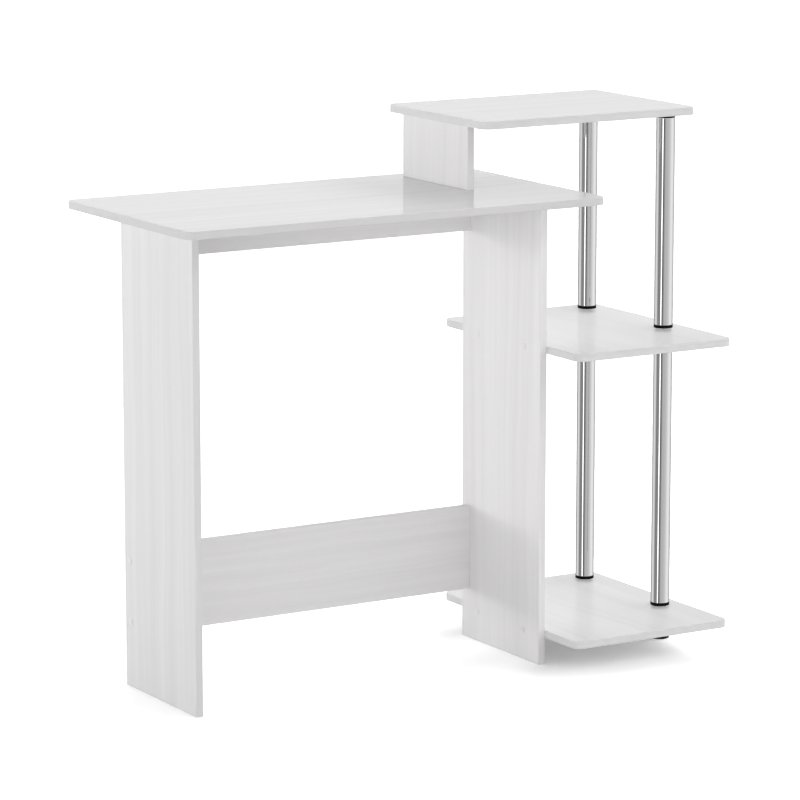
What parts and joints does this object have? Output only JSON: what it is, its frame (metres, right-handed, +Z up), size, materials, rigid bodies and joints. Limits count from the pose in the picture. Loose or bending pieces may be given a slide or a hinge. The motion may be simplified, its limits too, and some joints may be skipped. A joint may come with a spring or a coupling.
{
  "type": "computer desk",
  "caption": "Narrow writing desk of pale wood-grain boards on panel legs, with a raised shelf and a side shelf tower carried on polished screw-together tubes.",
  "frame": {"origin": "on the floor, under the middle of the overall bounding box", "axes": "+Z up; -Y is the side where the user sits; +X is to the seated user's right, where the shelf tower stands"},
  "size_m": [0.955, 0.392, 0.853],
  "materials": {
    "laminate": "white oak laminate, satin",
    "polished_tube": "polished steel tube",
    "black_plastic": "moulded, fine grain",
    "white_plastic": "moulded, satin",
    "zinc_screw": "zinc plated",
    "cast_zinc": "die-cast zinc",
    "beech": "fluted beech"
  },
  "bodies": {
    "root": {"desktop": "laminate", "left_leg_panel": "laminate", "middle_leg_panel": "laminate", "stretcher_panel": "laminate", "apron_rail": "laminate", "upper_side_panel": "laminate", "top_shelf": "laminate", "middle_shelf": "laminate", "bottom_shelf": "laminate", "lower_front_tube": "polished_tube", "lower_back_tube": "polished_tube", "upper_front_tube": "polished_tube", "upper_back_tube": "polished_tube", "lower_front_collar": "black_plastic", "lower_back_collar": "black_plastic", "upper_front_collar": "black_plastic", "upper_back_collar": "black_plastic", "lower_front_top_plug": "black_plastic", "lower_back_top_plug": "black_plastic", "upper_front_top_plug": "black_plastic", "upper_back_top_plug": "black_plastic", "front_foot": "black_plastic", "back_foot": "black_plastic", "front_top_bush": "black_plastic", "back_top_bush": "black_plastic", "stretcher_screws": "zinc_screw", "stretcher_screw_caps": "white_plastic", "shelf_screws": "zinc_screw", "shelf_screw_caps": "white_plastic", "upper_panel_screws": "zinc_screw", "desktop_cam_bolts": "zinc_screw", "desktop_cams": "cast_zinc", "desktop_dowels": "beech", "apron_cam_bolts": "zinc_screw", "apron_cams": "cast_zinc", "apron_dowels": "beech", "top_shelf_cam_bolts": "zinc_screw", "top_shelf_cams": "cast_zinc", "upper_panel_dowels": "beech"}
  },
  "joints": []
}
